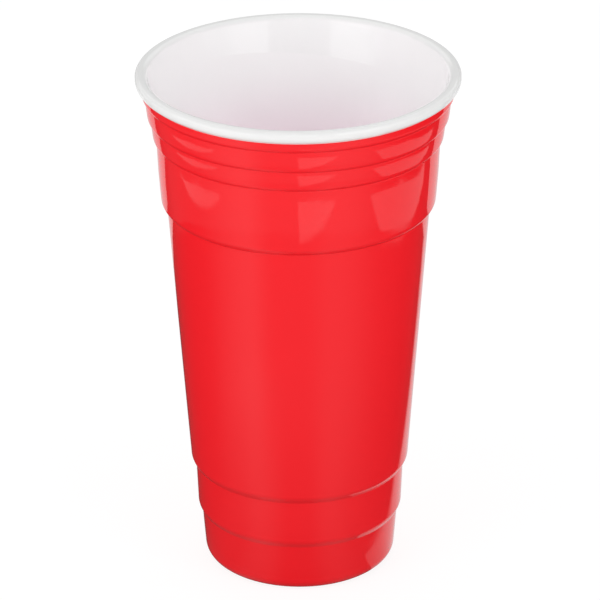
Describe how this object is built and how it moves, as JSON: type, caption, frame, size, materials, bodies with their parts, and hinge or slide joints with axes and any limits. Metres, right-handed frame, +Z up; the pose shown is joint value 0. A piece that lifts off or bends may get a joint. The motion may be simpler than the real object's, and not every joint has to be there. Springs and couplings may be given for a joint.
{
  "type": "plastic tumbler",
  "caption": "Tall tapering drinking tumbler of glossy red plastic with stepped rings outside, a smooth white inside and a rounded white lip.",
  "frame": {"origin": "middle of the base, on the plane that the foot stands on", "axes": "+Z up along the cup's axis, towards the mouth; X and Y lie in the plane of the table and are alike"},
  "size_m": [0.1154, 0.1154, 0.19],
  "materials": {
    "shell": "moulded red plastic, polished to a gloss, with a faint ripple from the mould",
    "liner": "moulded white plastic, satin gloss, with the red showing through very faintly towards the floor"
  },
  "bodies": {
    "root": {"shell": "shell", "liner": "liner"}
  },
  "joints": []
}
